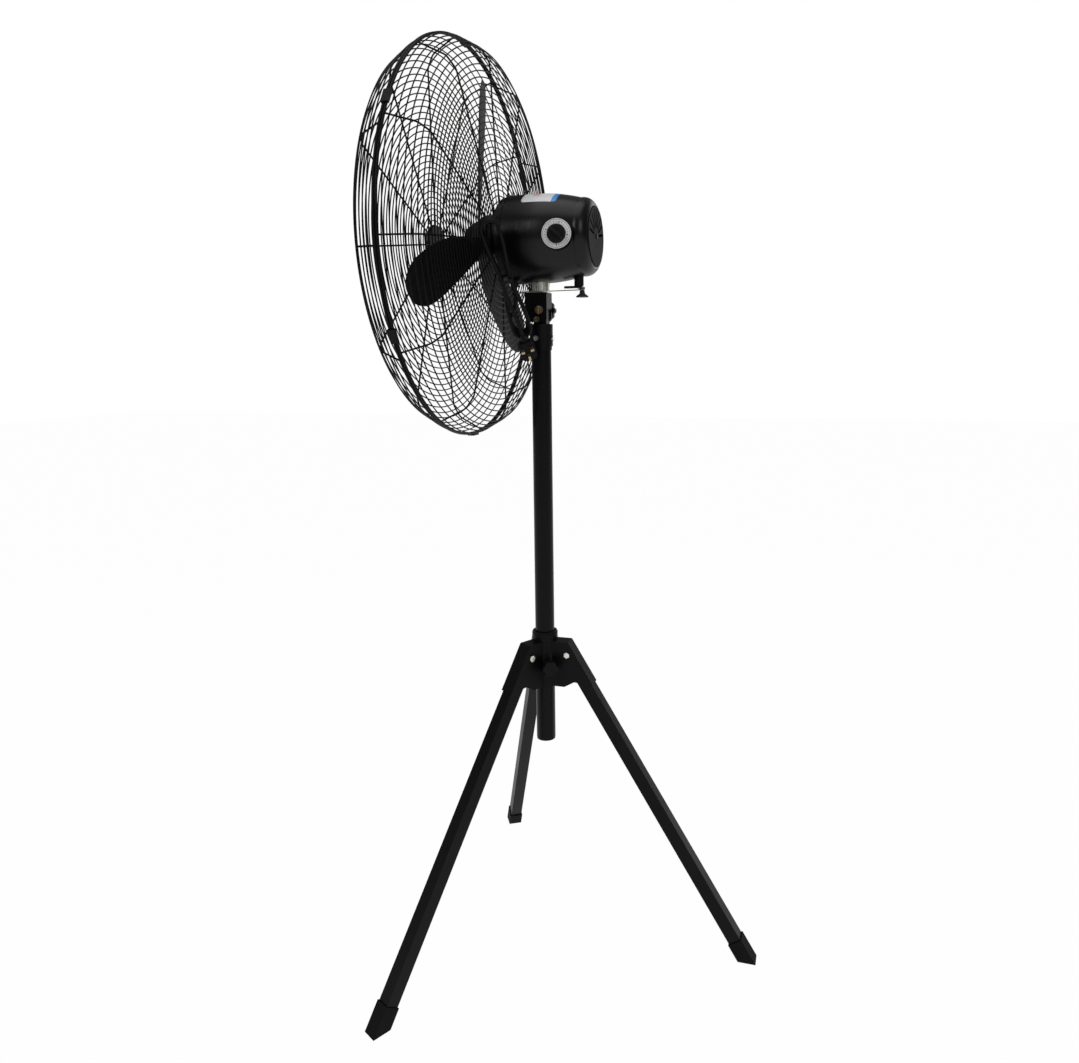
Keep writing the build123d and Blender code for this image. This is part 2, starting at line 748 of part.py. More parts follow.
def make_front_guard():
    half = front_hub_plate / 2
    plate = rod(front_hub_r, front_hub_depth - half, front_hub_depth + half)
    return fan * make_guard_frame(front_hub_r - 4, front_hub_depth, front_rib_phase, plate, [rod(2, 60, 66)])


def make_rings(hub_r, hub_depth):
    path = rib_line(hub_r, hub_depth)
    length = path.length
    lift = rib_wire_r + ring_wire_r + 0.02
    rings = []
    reach = ring_start
    while reach < length - ring_stop:
        spot = path @ (reach / length)
        way = path % (reach / length)
        section = Plane.XZ * Pos(spot.X - way.Z * lift, spot.Z + way.X * lift) * RegularPolygon(ring_wire_r, ring_sides)
        rings.append(revolve(section, Axis.Z, 360))
        reach += ring_pitch
    return rings


def make_clips():
    clips = []
    reach = rim_wire_r + fit_gap
    half = 2 * rim_wire_r + rim_gap + fit_gap
    for i in range(clip_count):
        body = block((-rim_wire_r, -clip_length / 2, -half - clip_wall),
                     (reach + clip_wall, clip_length / 2, half + clip_wall))
        body = body - block((-rim_wire_r - 1, -clip_length, -half), (reach, clip_length, half))
        clips.append(fan * (Rot(0, 0, clip_phase + i * 360 / clip_count) * Pos(rim_r + 0.3, 0, 0) * body))
    return clips


def make_medallion():
    disc = rod(medallion_r, medallion_base, medallion_base + medallion_thick)
    return fan * fillet(disc.edges().group_by(Axis.Z)[-1], 2)


# Speed dial
def make_dial_plate():
    plate = rod(dial_r, dial_face, dial_face + dial_thick) - rod(dial_shaft_r + 1, 0, 200)
    return dial_frame * plate


def make_dial_knob():
    low = dial_face + dial_thick + seat_gap
    base = rod(dial_knob_r, low, low + dial_knob)
    base = chamfer(base.edges().group_by(Axis.Z)[-1], 2)
    grip = Rot(0, 0, dial_grip_turn) * Pos(0, 0, low + dial_knob + dial_grip / 2 - 1) * Box(
        dial_grip_width, 2 * dial_knob_r - 5, dial_grip + 2)
    stem = rod(dial_shaft_r, dial_face - 14, low + 2)
    return dial_frame * joined([base, grip, stem])


def make_switch():
    high = dial_face - 14.4
    box = Pos(0, 0, high - switch_depth / 2) * Box(switch_side, switch_side, switch_depth)
    boss = tube(7, dial_shaft_r + run_gap, high, dial_face - 8)
    return dial_frame * joined([box, boss])


# Cord and its hank
def make_gland():
    foot = rod(gland_r, gland_low, 1311)
    neck = rod(gland_r - 1.5, gland_low, gland_top)
    return Pos(gland_x, gland_y, 0) * joined([foot, neck])


hank_up = (Vector(*hank_top) - Vector(*hank_foot)).normalized()
hank_out = (Vector(1, 0.32, 0) - hank_up * Vector(1, 0.32, 0).dot(hank_up)).normalized()
hank_side = hank_up.cross(hank_out)
hank_length = (Vector(*hank_top) - Vector(*hank_foot)).length


def hank_point(u, v, w):
    return Vector(*hank_foot) + hank_up * u + hank_side * v + hank_out * w


hank_layers = [(i - (hank_turns - 1) / 2) * hank_pitch for i in range(hank_turns + 1)]
gland_end = Vector(gland_x, gland_y, gland_low)
cord_knee = Vector(gland_x, gland_y, gland_low - 33)
cord_end = hank_point(14, -13, hank_layers[0] - 16)
cord_heading = (cord_end - cord_knee).normalized()


def biarc(start, start_way, end, end_way):
    gap = end - start
    ways = start_way + end_way
    spread = 2 * (1 - start_way.dot(end_way))
    along = gap.dot(ways)
    reach = gap.dot(gap) / (2 * along) if spread < 1e-6 else (
        sqrt(along ** 2 + spread * gap.dot(gap)) - along) / spread
    middle = (start + end + (start_way - end_way) * reach) * 0.5
    way = (end - end_way * reach - start - start_way * reach).normalized()
    return [TangentArc(start, middle, tangent=start_way), TangentArc(middle, end, tangent=way)]


def hank_run(low, side, low_layer, high_layer, rising):
    foot = hank_point(low, side * hank_half, low_layer)
    waist = hank_point(hank_length / 2, side * hank_waist, (low_layer + high_layer) / 2)
    head = hank_point(hank_length, side * hank_half, high_layer)
    stops = [foot, waist, head] if rising else [head, waist, foot]
    way = hank_up if rising else hank_up * -1
    return biarc(stops[0], way, stops[1], way) + biarc(stops[1], way, stops[2], way)


# Quarter turns round one end of a loop, numbered from the side that they leave
def hank_turn(level, side, layer, start, end):
    points = [hank_point(level, -side * hank_half, layer),
              hank_point(level + (hank_half if level else -hank_half), 0, layer),
              hank_point(level, side * hank_half, layer)]
    up = hank_up if level else hank_up * -1
    across = hank_side * side
    arcs = [TangentArc(points[0], points[1], tangent=up), TangentArc(points[1], points[2], tangent=across)]
    return arcs[start:end]


def hank_path():
    lead = cord_end + cord_heading * 2 * cord_r
    edges = [Line(cord_end, lead)]
    edges += biarc(lead, cord_heading, hank_point(-hank_half, 0, hank_layers[0]), hank_side)
    for i in range(hank_turns):
        layer = hank_layers[i]
        after = hank_layers[i + 1]
        edges += hank_turn(0, 1, layer, 0 if i else 1, 2)
        edges += hank_run(0, 1, layer, layer, True)
        edges += hank_turn(hank_length, -1, layer, 0, 2)
        if i < hank_turns - 1:
            edges += hank_run(0, -1, after, layer, False)
    down = hank_up * -1
    head = hank_point(hank_length, -hank_half, layer)
    waist = hank_point(hank_length / 2, -hank_waist, (layer + after) / 2)
    foot = hank_point(-3, -2, after + hank_tail_gap)
    edges += biarc(head, down, waist, down) + biarc(waist, down, foot, down)
    end = foot + down * 2 * cord_r
    edges.append(Line(foot, end))
    return edges, end


def make_hank():
    edges, end = hank_path()
    path = Wire([edge.edge() for edge in edges])
    section = Plane(origin=tuple(cord_end), z_dir=tuple(cord_heading)) * Circle(cord_r)
    body = sweep(section, path=path)
    length = sum(edge.length for edge in edges)
    spots = []
    for edge in edges:
        count = max(1, round(edge.length / 2))
        spots += [edge @ (i / count) for i in range(count)]
    least = 1000.0
    for i, a in enumerate(spots):
        for b in spots[i + 16:]:
            least = min(least, (a - b).length)
    print("hank length", round(length), "volume ratio", round(body.volume / (length * pi * cord_r ** 2), 4),
          "least gap", round(least - 2 * cord_r, 2))
    return body, end


def make_cord():
    points = [gland_end, cord_knee, cord_end]
    turn = (points[1] - points[0]).get_angle(points[2] - points[1])
    shorter = min((points[1] - points[0]).length, (points[2] - points[1]).length)
    bend = 0.45 * shorter / tan(radians(turn / 2))
    path = FilletPolyline(*[tuple(p) for p in points], radius=[bend])
    section = Plane(origin=tuple(points[0]), z_dir=(0, 0, -1)) * Circle(cord_r)
    body = sweep(section, path=path)
    print("cord radii", round(bend, 1), "volume ratio", round(body.volume / (path.length * pi * cord_r ** 2), 4))
    return body


def plug_frame(end):
    return Plane(origin=tuple(end), x_dir=tuple(hank_side), z_dir=tuple(hank_up * -1))


def make_plug(end):
    neck = Pos(0, 0, plug_neck / 2) * Cylinder(plug_neck_r, plug_neck)
    body = Pos(0, 0, plug_neck + plug_length / 2) * Box(plug_width, plug_depth, plug_length)
    body = chamfer(body.edges().filter_by(Axis.Y), 5)
    return plug_frame(end) * joined([neck, body])


def make_pins(end):
    out = plug_depth / 2
    earth = Pos(0, out + 9, plug_neck + 24) * Box(4, 18, 8)
    sides = [Pos(s * 9, out + 8, plug_neck + 11) * Box(6.2, 16, 4) for s in (-1, 1)]
    return [plug_frame(end) * pin for pin in [earth] + sides]


def make_tie():
    first = hank_layers[0]
    last = (hank_layers[-1] + hank_layers[-2]) / 2
    depth = last - first + 2 * cord_r + 2 * seat_gap
    width = 2 * hank_waist + 2 * cord_r + 2 * seat_gap
    place = Plane(origin=tuple(hank_point(hank_length / 2, 0, (first + last) / 2)), x_dir=tuple(hank_side),
                  z_dir=tuple(hank_up))
    outer = extrude(RectangleRounded(width + 2 * tie_thick, depth + 2 * tie_thick, 4), tie_width / 2, both=True)
    inner = extrude(RectangleRounded(width, depth, 3), tie_width, both=True)
    return place * (outer - inner)


def assemble():
    nodes = {}
    for name, azimuth in leg_azimuths.items():
        turn = Rot(0, 0, azimuth)
        nodes["leg_" + name] = turn * make_leg()
        nodes["foot_" + name] = turn * make_foot()
        nodes["leg_channel_" + name] = turn * make_channel()
    nodes["leg_bolts"] = [Rot(0, 0, a) * make_leg_bolt() for a in leg_azimuths.values()]
    nodes["hub_tube"] = make_hub_tube()
    nodes["column_bush"] = make_bush()
    nodes["height_knob"] = make_lock_knob()
    nodes["column_tube"] = make_column()
    nodes["column_end_plug"] = make_column_plug()
    nodes["neck_socket"] = make_socket()
    nodes["socket_screws"] = make_socket_screws()
    nodes["tilt_bracket"] = make_bracket()
    nodes["tilt_bolt"] = make_tilt_bolt()
    nodes["tilt_stop_screw"] = make_slot_screw()
    nodes["swivel_plate"] = make_swivel_plate()
    nodes["tilt_knob"] = make_tilt_knob()
    nodes["swing_link"] = make_link()
    nodes["link_knob"] = make_link_knob()
    nodes["crank"] = make_crank()
    nodes["motor_shell"] = make_shell()
    nodes["motor_front_cap"] = make_front_cap()
    nodes["motor_end_cap"] = make_end_cap()
    nodes["end_cap_screw"] = make_end_screw()
    nodes["swivel_sleeve"] = make_sleeve()
    nodes["front_bearing"] = make_bearing(front_bearing)
    nodes["rear_bearing"] = make_bearing(rear_bearing)
    nodes["rear_bearing_carrier"] = make_rear_carrier()
    nodes["gearbox"] = make_gearbox()
    nodes["stator_core"] = make_stator()
    nodes["stator_windings"] = make_windings()
    nodes["stator_posts"] = make_stator_posts()
    nodes["capacitor"] = make_capacitor()
    nodes["rotor_core"] = make_rotor_core()
    nodes["motor_shaft"] = make_shaft()
    nodes["fan_blades"] = make_blades()
    nodes["blade_nut"] = make_blade_nut()
    nodes["rear_guard_frame"] = make_rear_guard()
    nodes["front_guard_frame"] = make_front_guard()
    nodes["rear_guard_rings"] = [fan * (Rot(180, 0, 0) * ring) for ring in make_rings(
        rear_hub_out_r - 2, rear_hub_depth)]
    nodes["front_guard_rings"] = [fan * ring for ring in make_rings(front_hub_r - 4, front_hub_depth)]
    nodes["guard_clips"] = make_clips()
    nodes["guard_medallion"] = make_medallion()
    nodes["guard_seat_screws"] = make_seat_screws()
    nodes["dial_plate"] = make_dial_plate()
    nodes["dial_knob"] = make_dial_knob()
    nodes["speed_switch"] = make_switch()
    nodes["cord_gland"] = make_gland()
    nodes["power_cord"] = make_cord()
    hank, end = make_hank()
    nodes["cord_hank"] = hank
    nodes["mains_plug"] = make_plug(end)
    nodes["plug_pins"] = make_pins(end)
    nodes["cord_tie"] = make_tie()
    return nodes


def make_sleeve():
    low = plate_top + sleeve_low_gap
    body = rod(sleeve_r, low, sleeve_top)
    flutes = [Pos(*polar(sleeve_r + 0.6, i * 360 / sleeve_flutes, low + 7)) * Cylinder(1.4, 14.6)
              for i in range(sleeve_flutes)]
    way = rod(swivel_r + run_gap, low - 1, swivel_top + seat_gap)
    return body - joined(flutes) - way


def main():
    os.makedirs("parts", exist_ok=True)
    nodes = assemble()
    front = rim_y - medallion_base - medallion_thick
    back = max(v.Y for v in nodes["foot_rear"].vertices())
    shift = Pos(0, -(front + back) / 2, 0)
    print("column axis at y =", round(-(front + back) / 2, 3), "leg reach", round(leg_reach, 2))
    for name, shape in nodes.items():
        if isinstance(shape, list):
            solids = []
            for item in shape:
                solids += list((shift * item).solids())
            whole = Compound(children=[Solid(s.wrapped) for s in solids])
        else:
            solids = (shift * shape).solids()
            whole = solids[0] if len(solids) == 1 else Compound(children=[Solid(s.wrapped) for s in solids])
        whole.label = name
        export_step(whole, "parts/" + name + ".step")


main()
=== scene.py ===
import bpy, bmesh, json, random
from math import cos, sin, tan, radians, degrees, pi, sqrt
from mathutils import Vector, Matrix


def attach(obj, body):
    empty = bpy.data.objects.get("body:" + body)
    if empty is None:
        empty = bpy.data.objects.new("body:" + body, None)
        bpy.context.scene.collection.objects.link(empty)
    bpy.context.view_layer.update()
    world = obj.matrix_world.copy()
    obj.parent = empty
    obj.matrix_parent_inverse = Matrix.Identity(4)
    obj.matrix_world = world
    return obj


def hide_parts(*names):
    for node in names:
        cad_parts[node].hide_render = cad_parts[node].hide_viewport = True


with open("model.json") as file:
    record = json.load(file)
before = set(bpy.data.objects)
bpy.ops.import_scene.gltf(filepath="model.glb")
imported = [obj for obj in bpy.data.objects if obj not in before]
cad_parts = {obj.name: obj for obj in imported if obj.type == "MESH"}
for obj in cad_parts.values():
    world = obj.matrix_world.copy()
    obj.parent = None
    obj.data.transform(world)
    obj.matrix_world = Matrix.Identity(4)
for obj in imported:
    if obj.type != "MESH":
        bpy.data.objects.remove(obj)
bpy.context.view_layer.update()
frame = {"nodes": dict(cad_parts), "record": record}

axisY = -0.10015       # where the column stands
headZ = 1.395          # height of the fan's axle
rimY = axisY - 0.146   # the guard's rim, in front of the column
random.seed(7)

print("stage: camera")
cameraPlace = {
    "spot": (1.582, 0.5145 + axisY, 1.175),
    "heading": 196.0, "dip": 5.51, "roll": -0.53,
    "sensor": 36, "lens": 28.376, "shift": (-0.0304, -0.0884), "near": 0.05, "far": 60,
}


def makeCamera(place):
    data = bpy.data.cameras.new("photoCamera")
    data.sensor_width = place["sensor"]
    data.lens = place["lens"]
    data.shift_x, data.shift_y = place["shift"]
    data.clip_start, data.clip_end = place["near"], place["far"]
    cam = bpy.data.objects.new("photoCamera", data)
    turn, dip, roll = (radians(place[k]) for k in ("heading", "dip", "roll"))
    ahead = Vector((cos(turn) * cos(dip), sin(turn) * cos(dip), -sin(dip)))
    side = ahead.cross(Vector((0, 0, 1))).normalized()
    up = side.cross(ahead)
    across = side * cos(roll) + up * sin(roll)
    rise = up * cos(roll) - side * sin(roll)
    cam.matrix_world = Matrix((across, rise, -ahead)).transposed().to_4x4()
    cam.location = place["spot"]
    bpy.context.collection.objects.link(cam)
    bpy.context.scene.camera = cam


makeCamera(cameraPlace)


# Sockets as values: an expression on them adds its own nodes
class Signal:
    def __init__(self, tree, socket):
        self.tree, self.socket = tree, socket

    def maths(self, how, first, second=0.0):
        node = self.tree.nodes.new("ShaderNodeMath")
        node.operation = how
        for slot, value in zip(node.inputs, (first, second)):
            plug(self.tree, slot, value)
        return Signal(self.tree, node.outputs[0])

    def __add__(self, other): return self.maths("ADD", self, other)
    def __radd__(self, other): return self.maths("ADD", other, self)
    def __sub__(self, other): return self.maths("SUBTRACT", self, other)
    def __rsub__(self, other): return self.maths("SUBTRACT", other, self)
    def __mul__(self, other): return self.maths("MULTIPLY", self, other)
    def __rmul__(self, other): return self.maths("MULTIPLY", other, self)
    def __gt__(self, other): return self.maths("GREATER_THAN", self, other)
    def __lt__(self, other): return self.maths("LESS_THAN", self, other)


def plug(tree, slot, value):
    if isinstance(value, Signal):
        tree.links.new(value.socket, slot)
    elif isinstance(value, (tuple, list)) and slot.type == "RGBA" and len(value) == 3:
        slot.default_value = (*value, 1)
    else:
        slot.default_value = value


class Finish:
    def __init__(self, name, **fixed):
        self.mat = bpy.data.materials.new(name)
        self.mat.use_nodes = True
        self.tree = self.mat.node_tree
        self.shader = self.tree.nodes["Principled BSDF"]
        for key, value in fixed.items():
            plug(self.tree, self.shader.inputs[key.replace("_", " ")], value)
        self.place = self.add("ShaderNodeTexCoord", out="Object")

    def add(self, kind, settings=None, sockets=None, out=0):
        node = self.tree.nodes.new(kind)
        for key, value in (settings or {}).items():
            setattr(node, key, value)
        for key, value in (sockets or {}).items():
            plug(self.tree, node.inputs[key], value)
        return Signal(self.tree, node.outputs[out])

    def noise(self, scale, detail=3.0, rough=0.5, stretch=None):
        where = self.place
        if stretch:
            where = self.add("ShaderNodeVectorMath", {"operation": "MULTIPLY"}, {0: where, 1: stretch})
        return self.add("ShaderNodeTexNoise", None, {"Vector": where, "Scale": scale, "Detail": detail,
                                                    "Roughness": rough})

    def blend(self, factor, first, second):
        return self.add("ShaderNodeMix", {"data_type": "RGBA"}, {0: factor, 6: first, 7: second}, out=2)

    def clamp(self, value):
        return self.add("ShaderNodeClamp", None, {"Value": value, "Min": 0.0, "Max": 1.0})

    def set(self, key, value):
        plug(self.tree, self.shader.inputs[key], value)

    def bump(self, height, strength, distance):
        self.set("Normal", self.add("ShaderNodeBump", None, {"Height": height, "Strength": strength,
                                                             "Distance": distance}))

    def part(self, source, axis):
        return self.add("ShaderNodeSeparateXYZ", None, {0: source}, out=axis)

    def upward(self):
        return self.part(self.add("ShaderNodeNewGeometry", out="Normal"), 2)


# Finishes: a shade, what dust or wear turns it into, and its roughness
def paintFinish(name, shade, dusty, gloss, grain=900.0, depth=0.0001, specular=0.12):
    f = Finish(name, Specular_IOR_Level=specular)
    cloud = f.noise(14.0, 4.0)
    speck = f.noise(grain, 2.0, 0.6)
    dust = f.clamp(f.upward() * 0.5 * cloud + speck * 0.12 - 0.04)
    f.set("Base Color", f.blend(dust, shade, dusty))
    f.set("Roughness", f.clamp(gloss + (cloud - 0.5) * 0.18 + (speck - 0.5) * 0.1))
    f.bump(speck, 0.25, depth)
    return f.mat


def mouldedFinish(name, shade, dusty, gloss, grain=1400.0, strength=0.3, specular=0.14):
    f = Finish(name, Specular_IOR_Level=specular)
    pebble = f.add("ShaderNodeTexVoronoi", {"feature": "SMOOTH_F1"}, {"Vector": f.place, "Scale": grain})
    cloud = f.noise(30.0, 5.0, 0.6)
    dust = f.clamp(f.upward() * 0.35 * cloud + cloud * 0.25 - 0.08)
    f.set("Base Color", f.blend(dust, shade, dusty))
    f.set("Roughness", f.clamp(gloss + (cloud - 0.5) * 0.2))
    f.bump(pebble + cloud * 0.3, strength, 0.00012)
    return f.mat


def metalFinish(name, shade, dull, gloss, stretch, grain=700.0):
    f = Finish(name, Metallic=1.0)
    brush = f.noise(grain, 3.0, 0.6, stretch)
    stain = f.noise(90.0, 5.0, 0.65)
    f.set("Base Color", f.blend(f.clamp((stain - 0.42) * 2.4), shade, dull))
    f.set("Roughness", f.clamp(gloss + (brush - 0.5) * 0.3 + (stain - 0.5) * 0.25))
    f.bump(brush, 0.25, 0.00006)
    return f.mat


def rubberFinish(name, shade, dusty, gloss):
    f = Finish(name, Specular_IOR_Level=0.14)
    scuff = f.noise(60.0, 6.0, 0.65)
    grain = f.noise(1800.0, 2.0)
    f.set("Base Color", f.blend(f.clamp((scuff - 0.4) * 0.9), shade, dusty))
    f.set("Roughness", f.clamp(gloss + (scuff - 0.5) * 0.25))
    f.bump(grain + scuff * 0.4, 0.35, 0.00012)
    return f.mat


def steelSheet(name):
    f = Finish(name, Metallic=1.0)
    layers = f.add("ShaderNodeTexWave", {"bands_direction": "Y"}, {"Vector": f.place, "Scale": 400.0})
    f.set("Base Color", f.blend(layers, (0.32, 0.32, 0.33), (0.5, 0.5, 0.5)))
    f.set("Roughness", f.clamp(0.45 + f.noise(120.0) * 0.2))
    return f.mat


def wireFinish(name):
    f = Finish(name, Specular_IOR_Level=0.1)
    cloud = f.noise(40.0, 4.0)
    dust = f.clamp(f.upward() * 0.3 + cloud * 0.3)
    f.set("Base Color", f.blend(dust, (0.003, 0.003, 0.004), (0.009, 0.009, 0.010)))
    f.set("Roughness", f.clamp(0.34 + cloud * 0.2))
    f.bump(f.noise(1200.0, 2.0), 0.2, 0.00005)
    return f.mat


finishes = {
    "leg_paint": paintFinish("legPaint", (0.003, 0.003, 0.003), (0.014, 0.014, 0.013), 0.42),
    "hub_paint": paintFinish("hubPaint", (0.003, 0.003, 0.004), (0.013, 0.013, 0.012), 0.45),
    "column_paint": paintFinish("columnPaint", (0.003, 0.003, 0.004), (0.011, 0.010, 0.012), 0.32),
    "cast_black": paintFinish("castBlack", (0.004, 0.004, 0.005), (0.014, 0.013, 0.016), 0.42,
                              grain=500.0, depth=0.0002),
    "motor_paint": paintFinish("motorPaint", (0.003, 0.003, 0.004), (0.010, 0.010, 0.010), 0.3,
                               grain=700.0, depth=0.00012, specular=0.24),
    "guard_wire": wireFinish("guardWire"),
    "foot_rubber": rubberFinish("footRubber", (0.004, 0.004, 0.004), (0.016, 0.015, 0.014), 0.75),
    "cord_rubber": rubberFinish("cordRubber", (0.004, 0.004, 0.005), (0.014, 0.014, 0.015), 0.55),
    "black_plastic": mouldedFinish("blackPlastic", (0.004, 0.004, 0.005), (0.016, 0.016, 0.016), 0.5),
    "grey_plastic": mouldedFinish("greyPlastic", (0.05, 0.05, 0.05), (0.11, 0.11, 0.11), 0.5),
    "blade_plastic": mouldedFinish("bladePlastic", (0.004, 0.004, 0.005), (0.012, 0.012, 0.013), 0.5,
                                   grain=900.0, strength=0.15, specular=0.2),
    "medallion": mouldedFinish("medallionPlastic", (0.004, 0.004, 0.005), (0.014, 0.014, 0.014), 0.3,
                               grain=900.0, strength=0.1),
    "white_plastic": mouldedFinish("whitePlastic", (0.92, 0.92, 0.9), (0.8, 0.8, 0.77), 0.4,
                                   grain=1200.0, strength=0.12),
    "zinc": metalFinish("zincPlate", (0.72, 0.71, 0.64), (0.5, 0.49, 0.43), 0.3, (1.0, 1.0, 6.0)),
    "brass": metalFinish("brassScrew", (0.86, 0.7, 0.46), (0.6, 0.44, 0.25), 0.28, (6.0, 1.0, 1.0)),
    "steel": steelSheet("steelSheet"),
    "copper_wire": metalFinish("copperWire", (0.62, 0.26, 0.11), (0.42, 0.16, 0.07), 0.35,
                               (1.0, 9.0, 1.0), grain=300.0),
    "aluminium": metalFinish("castAluminium", (0.66, 0.66, 0.67), (0.5, 0.5, 0.5), 0.4,
                             (1.0, 1.0, 1.0), grain=400.0),
}
# Nodes that look unlike the rest of their slot
ownFinishes = {
    "end_cap_screw": finishes["black_plastic"],
    "plug_pins": metalFinish("pinBrass", (0.5, 0.4, 0.24), (0.3, 0.23, 0.13), 0.42, (1.0, 1.0, 5.0)),
    "motor_end_cap": mouldedFinish("endCapPlastic", (0.010, 0.010, 0.011), (0.03, 0.03, 0.03), 0.75,
                                   grain=1200.0, strength=0.3, specular=0.15),
}

print("stage: finishes on the nodes")
slotOf = {s["node"]: s["material_slot"] for s in frame["record"]["subparts"]}
for name, obj in frame["nodes"].items():
    obj.data.materials.clear()
    obj.data.materials.append(ownFinishes.get(name) or finishes[slotOf[name]])


# Pieces
def addPiece(name, mesh, finish, body):
    obj = bpy.data.objects.new(name, mesh)
    bpy.context.collection.objects.link(obj)
    obj.data.materials.append(finish)
    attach(obj, body)
    return obj


def thicken(piece, thickness):
    layer = piece.modifiers.new("thick", "SOLIDIFY")
    layer.thickness, layer.offset = thickness, 1


def circle(steps):
    return [2 * pi * i / steps for i in range(steps)]


# Faces between rows of vertices, each row a closed loop
def joinRows(bm, rows):
    for low, high in zip(rows, rows[1:]):
        for i in range(len(low)):
            k = (i + 1) % len(low)
            bm.faces.new((low[i], low[k], high[k], high[i])).smooth = True


# A closed piece from rows of points, with a face over each end
def stackPiece(name, rows, place, body, slotName):
    bm = bmesh.new()
    loops = [[bm.verts.new(spot) for spot in row] for row in rows]
    joinRows(bm, loops)
    for end in (loops[0][::-1], loops[-1]):
        bm.faces.new(end).smooth = True
    bmesh.ops.recalc_face_normals(bm, faces=bm.faces)
    bm.transform(place)
    mesh = bpy.data.meshes.new(name)
    bm.to_mesh(mesh)
    return addPiece(name, mesh, finishes[slotName], body)


print("stage: cord")
cordShape = {
    "thick": 0.007, "gland": Vector((0.027, -0.042 + axisY, 1.304)), "straight": 0.014, "kneeDrop": 0.033,
    "top": Vector((0.138, -0.050 + axisY, 1.400)), "foot": Vector((0.054, -0.022 + axisY, 1.228)),
    "lean": Vector((1, 0.32, 0)), "entry": (0.014, -0.013, 0.016), "entryRun": 0.012,
    "turns": 5, "half": 0.016, "waist": 0.008, "pitch": 0.0077, "tailGap": 0.0024,
    "corner": 22.5,  # half the angle between two control points of an end loop
}


def hankRoute(c):
    up = (c["top"] - c["foot"]).normalized()
    long = (c["top"] - c["foot"]).length
    out = (c["lean"] - up * c["lean"].dot(up)).normalized()
    side = up.cross(out)
    at = lambda u, v, w: c["foot"] + up * u + side * v + out * w
    layers = [(i - (c["turns"] - 1) / 2) * c["pitch"] for i in range(c["turns"] + 1)]
    half, waist = c["half"], c["waist"]
    wide = half / cos(radians(c["corner"]))
    near = half * tan(radians(c["corner"]))
    angles = [c["corner"] * k for k in (1, 3, 5, 7)]

    def turn(level, sign, layer, angles):
        pole = 1 if level else -1
        return [at(level + pole * wide * sin(radians(a)), -sign * wide * cos(radians(a)), layer) for a in angles]

    # A strand from end to end, drawn in at the waist
    def run(sign, lowLayer, highLayer, rising):
        rows = [(near, 1.0), (long * 0.2, 0.84), (long * 0.37, 0.2), (long * 0.5, 0.0),
                (long * 0.63, 0.2), (long * 0.8, 0.84), (long - near, 1.0)]
        spots = [at(u, sign * (half * share + waist * (1 - share)), lowLayer + (highLayer - lowLayer) * u / long)
                 for u, share in rows]
        return spots if rising else spots[::-1]

    knee = c["gland"] - Vector((0, 0, c["kneeDrop"]))
    rise, aside, under = c["entry"]
    entry = at(rise, aside, layers[0] - under)
    points = [c["gland"], c["gland"] - Vector((0, 0, c["straight"])), knee, entry,
              entry + (entry - knee).normalized() * c["entryRun"]]
    for i in range(c["turns"]):
        layer, after = layers[i], layers[i + 1]
        points += turn(0, 1, layer, angles if i else angles[1:])
        points += run(1, layer, layer, True)
        points += turn(long, -1, layer, angles)
        if i < c["turns"] - 1:
            points += run(-1, after, layer, False)
    points += run(-1, after, layer, False)[:4]
    tail = after + c["tailGap"]
    points += [at(long * 0.3, -0.0072, after + c["tailGap"] * 0.3), at(0.02, -0.0026, tail),
               at(0.0, -0.002, tail), at(-0.010, -0.002, tail)]
    return points


def makeCord(c):
    curve = bpy.data.curves.new("mainsCord", "CURVE")
    curve.dimensions = "3D"
    spline = curve.splines.new("NURBS")
    points = hankRoute(c)
    spline.points.add(len(points) - 1)
    for p, spot in zip(spline.points, points):
        p.co = (*spot, 1)
    spline.order_u = 3
    spline.use_endpoint_u = True
    spline.resolution_u = 6
    curve.bevel_depth = c["thick"] / 2
    curve.bevel_resolution = 4
    curve.use_fill_caps = True
    cord = addPiece("mainsCord", curve, finishes["cord_rubber"], "head")
    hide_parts("power_cord", "cord_hank")


makeCord(cordShape)

print("stage: motor label, dial marks and trims")
motorShell = {"r": 0.084, "straightTo": 0.004, "taper": 0.082, "narrowing": 0.011}
label = {
    "from": -0.019, "to": 0.049, "low": -2.0, "high": 44.0, "lift": 0.00025, "corner": 0.006,
    "thick": 0.0002, "rows": 30, "cols": 24,
    "pale": (0.86, 0.87, 0.88), "faded": (0.74, 0.77, 0.8), "red": (0.8, 0.25, 0.18), "blue": (0.05, 0.28, 0.72),
    "blueFrom": 0.0395, "redFrom": -0.001, "redTo": 0.013, "redAbove": 0.074, "redShare": 0.55,
}


def shellRadius(y):
    back = max(0, y - motorShell["straightTo"])
    return motorShell["r"] - motorShell["narrowing"] * (back / motorShell["taper"]) ** 2


def labelFinish(s):
    f = Finish("labelPaper", Roughness=0.35)
    across, height = f.part(f.place, 1), f.part(f.place, 2)
    blueEnd = across > (axisY + s["blueFrom"])
    band = ((across > (axisY + s["redFrom"])) * (across < (axisY + s["redTo"]))
            * (height > (headZ + s["redAbove"])))
    paper = f.blend(f.noise(200.0) * 0.3, s["pale"], s["faded"])
    f.set("Base Color", f.blend(blueEnd, f.blend(band * s["redShare"], paper, s["red"]), s["blue"]))
    f.bump(f.noise(500.0), 0.1, 0.00005)
    return f.mat


